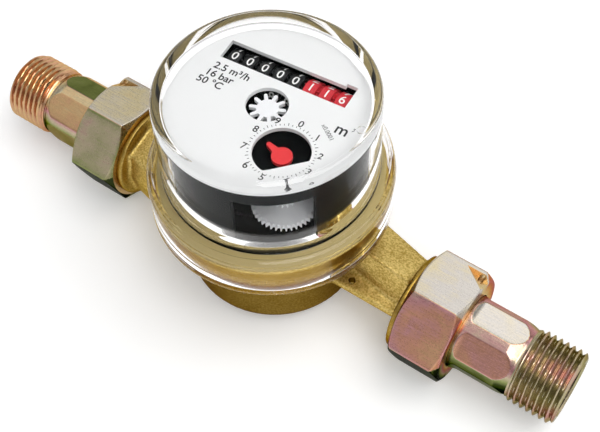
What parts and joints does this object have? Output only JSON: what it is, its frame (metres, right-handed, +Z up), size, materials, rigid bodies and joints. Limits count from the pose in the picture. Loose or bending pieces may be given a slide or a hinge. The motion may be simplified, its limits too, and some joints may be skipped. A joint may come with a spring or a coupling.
{
  "type": "water meter",
  "caption": "Single-jet water meter with a cast body, union nuts with threaded tails, and a sealed roller register under a clear cover.",
  "frame": {"origin": "on the pipe axis at the end face of the inlet tailpiece", "axes": "+X along the pipe from the inlet to the outlet, +Z up along the register's axis towards its dial"},
  "size_m": [0.184, 0.0652, 0.0724],
  "materials": {
    "brass": "sand cast, turned at the ports",
    "passivated_zinc": "zinc plated, yellow passivated",
    "clear_plastic": "clear moulded",
    "black_plastic": "moulded",
    "white_plastic": "moulded",
    "red_plastic": "moulded",
    "grey_plastic": "moulded",
    "steel": "bright",
    "rubber": "matt",
    "gum_rubber": "matt",
    "ferrite": "sintered"
  },
  "bodies": {
    "meter": {"meter_body": "brass", "clear_cover": "clear_plastic", "cover_gasket": "gum_rubber", "clamp_ring": "brass", "separating_plate": "grey_plastic", "plate_o_ring": "rubber", "magnet_shield": "steel", "lower_pivot": "steel", "upper_pivot": "steel", "inlet_strainer": "white_plastic", "inlet_gasket": "rubber", "outlet_gasket": "rubber", "inlet_tailpiece": "passivated_zinc", "outlet_tailpiece": "passivated_zinc", "register_base": "black_plastic", "upper_plate": "black_plastic", "frame_screws": "steel", "dial_plate": "white_plastic", "counter_shaft": "steel", "transfer_shaft": "steel"},
    "inlet_union": {"inlet_nut": "passivated_zinc"},
    "outlet_union": {"outlet_nut": "passivated_zinc"},
    "vane_wheel": {"impeller": "white_plastic", "impeller_magnet": "ferrite"},
    "magnet_drive": {"driven_magnet": "ferrite", "magnet_arbor": "grey_plastic", "star_wheel": "white_plastic"},
    "first_wheel": {"intermediate_gear": "black_plastic"},
    "pointer_wheel": {"pointer_gear": "white_plastic", "pointer": "red_plastic"},
    "idler_wheel": {"idler_gear": "grey_plastic"},
    "worm_wheel_drive": {"worm_arbor": "grey_plastic"},
    "drum_1": {"number_drum_1": "red_plastic"},
    "drum_2": {"number_drum_2": "red_plastic"},
    "drum_3": {"number_drum_3": "red_plastic"},
    "drum_4": {"number_drum_4": "black_plastic"},
    "drum_5": {"number_drum_5": "black_plastic"},
    "drum_6": {"number_drum_6": "black_plastic"},
    "drum_7": {"number_drum_7": "black_plastic"},
    "drum_8": {"number_drum_8": "black_plastic"},
    "transfer_1": {"transfer_pinion_1": "white_plastic"},
    "transfer_2": {"transfer_pinion_2": "white_plastic"},
    "transfer_3": {"transfer_pinion_3": "white_plastic"},
    "transfer_4": {"transfer_pinion_4": "white_plastic"},
    "transfer_5": {"transfer_pinion_5": "white_plastic"},
    "transfer_6": {"transfer_pinion_6": "white_plastic"},
    "transfer_7": {"transfer_pinion_7": "white_plastic"}
  },
  "joints": [
    {"name": "inlet_nut_turn", "type": "hinge", "parent": "meter", "child": "inlet_union", "pos_m": [0.0379, 0, 0], "axis": [1, 0, 0], "continuous": true},
    {"name": "outlet_nut_turn", "type": "hinge", "parent": "meter", "child": "outlet_union", "pos_m": [0.1461, 0, 0], "axis": [1, 0, 0], "continuous": true},
    {"name": "impeller_spin", "type": "hinge", "parent": "meter", "child": "vane_wheel", "pos_m": [0.092, 0, 0], "axis": [0, 0, 1], "continuous": true},
    {"name": "drive_magnet_spin", "type": "hinge", "parent": "meter", "child": "magnet_drive", "pos_m": [0.092, 0, 0.017], "axis": [0, 0, 1], "continuous": true},
    {"name": "intermediate_spin", "type": "hinge", "parent": "meter", "child": "first_wheel", "pos_m": [0.09366, -0.00946, 0.028], "axis": [0, 0, 1], "continuous": true},
    {"name": "pointer_spin", "type": "hinge", "parent": "meter", "child": "pointer_wheel", "pos_m": [0.10325, -0.00985, 0.031], "axis": [0, 0, 1], "continuous": true},
    {"name": "idler_spin", "type": "hinge", "parent": "meter", "child": "idler_wheel", "pos_m": [0.10515, -0.00003, 0.0347], "axis": [0, 0, 1], "continuous": true},
    {"name": "worm_spin", "type": "hinge", "parent": "meter", "child": "worm_wheel_drive", "pos_m": [0.10986, 0.00879, 0.0347], "axis": [0, 0, 1], "continuous": true},
    {"name": "drum_1_spin", "type": "hinge", "parent": "meter", "child": "drum_1", "pos_m": [0.10574, 0.01242, 0.04415], "axis": [0.9957, 0.0924, 0], "continuous": true},
    {"name": "drum_2_spin", "type": "hinge", "parent": "meter", "child": "drum_2", "pos_m": [0.10136, 0.01202, 0.04415], "axis": [0.9957, 0.0924, 0], "continuous": true},
    {"name": "drum_3_spin", "type": "hinge", "parent": "meter", "child": "drum_3", "pos_m": [0.09697, 0.01161, 0.04415], "axis": [0.9957, 0.0924, 0], "continuous": true},
    {"name": "drum_4_spin", "type": "hinge", "parent": "meter", "child": "drum_4", "pos_m": [0.09259, 0.0112, 0.04415], "axis": [0.9957, 0.0924, 0], "continuous": true},
    {"name": "drum_5_spin", "type": "hinge", "parent": "meter", "child": "drum_5", "pos_m": [0.08821, 0.0108, 0.04415], "axis": [0.9957, 0.0924, 0], "continuous": true},
    {"name": "drum_6_spin", "type": "hinge", "parent": "meter", "child": "drum_6", "pos_m": [0.08383, 0.01039, 0.04415], "axis": [0.9957, 0.0924, 0], "continuous": true},
    {"name": "drum_7_spin", "type": "hinge", "parent": "meter", "child": "drum_7", "pos_m": [0.07945, 0.00998, 0.04415], "axis": [0.9957, 0.0924, 0], "continuous": true},
    {"name": "drum_8_spin", "type": "hinge", "parent": "meter", "child": "drum_8", "pos_m": [0.07507, 0.00958, 0.04415], "axis": [0.9957, 0.0924, 0], "continuous": true},
    {"name": "transfer_1_spin", "type": "hinge", "parent": "meter", "child": "transfer_1", "pos_m": [0.10355, 0.01222, 0.03813], "axis": [0.9957, 0.0924, 0], "continuous": true},
    {"name": "transfer_2_spin", "type": "hinge", "parent": "meter", "child": "transfer_2", "pos_m": [0.09916, 0.01181, 0.03813], "axis": [0.9957, 0.0924, 0], "continuous": true},
    {"name": "transfer_3_spin", "type": "hinge", "parent": "meter", "child": "transfer_3", "pos_m": [0.09478, 0.01141, 0.03813], "axis": [0.9957, 0.0924, 0], "continuous": true},
    {"name": "transfer_4_spin", "type": "hinge", "parent": "meter", "child": "transfer_4", "pos_m": [0.0904, 0.011, 0.03813], "axis": [0.9957, 0.0924, 0], "continuous": true},
    {"name": "transfer_5_spin", "type": "hinge", "parent": "meter", "child": "transfer_5", "pos_m": [0.08602, 0.01059, 0.03813], "axis": [0.9957, 0.0924, 0], "continuous": true},
    {"name": "transfer_6_spin", "type": "hinge", "parent": "meter", "child": "transfer_6", "pos_m": [0.08164, 0.01019, 0.03813], "axis": [0.9957, 0.0924, 0], "continuous": true},
    {"name": "transfer_7_spin", "type": "hinge", "parent": "meter", "child": "transfer_7", "pos_m": [0.07726, 0.00978, 0.03813], "axis": [0.9957, 0.0924, 0], "continuous": true}
  ],
  "couplings": [
    {"joint": "drive_magnet_spin", "follows": "impeller_spin", "ratio": 1},
    {"joint": "intermediate_spin", "follows": "impeller_spin", "ratio": -0.2},
    {"joint": "pointer_spin", "follows": "impeller_spin", "ratio": 0.04},
    {"joint": "idler_spin", "follows": "impeller_spin", "ratio": -0.0225},
    {"joint": "worm_spin", "follows": "impeller_spin", "ratio": 0.04},
    {"joint": "drum_1_spin", "follows": "impeller_spin", "ratio": 0.004},
    {"joint": "drum_2_spin", "follows": "impeller_spin", "ratio": 0.0004},
    {"joint": "drum_3_spin", "follows": "impeller_spin", "ratio": 0.00004},
    {"joint": "drum_4_spin", "follows": "impeller_spin", "ratio": 0.000004},
    {"joint": "drum_5_spin", "follows": "impeller_spin", "ratio": 0.0000004},
    {"joint": "drum_6_spin", "follows": "impeller_spin", "ratio": 0.00000004},
    {"joint": "drum_7_spin", "follows": "impeller_spin", "ratio": 0.000000004},
    {"joint": "drum_8_spin", "follows": "impeller_spin", "ratio": 0.0000000004},
    {"joint": "transfer_1_spin", "follows": "impeller_spin", "ratio": -0.001},
    {"joint": "transfer_2_spin", "follows": "impeller_spin", "ratio": -0.0001},
    {"joint": "transfer_3_spin", "follows": "impeller_spin", "ratio": -0.00001},
    {"joint": "transfer_4_spin", "follows": "impeller_spin", "ratio": -0.000001},
    {"joint": "transfer_5_spin", "follows": "impeller_spin", "ratio": -0.0000001},
    {"joint": "transfer_6_spin", "follows": "impeller_spin", "ratio": -0.00000001},
    {"joint": "transfer_7_spin", "follows": "impeller_spin", "ratio": -0.000000001}
  ]
}
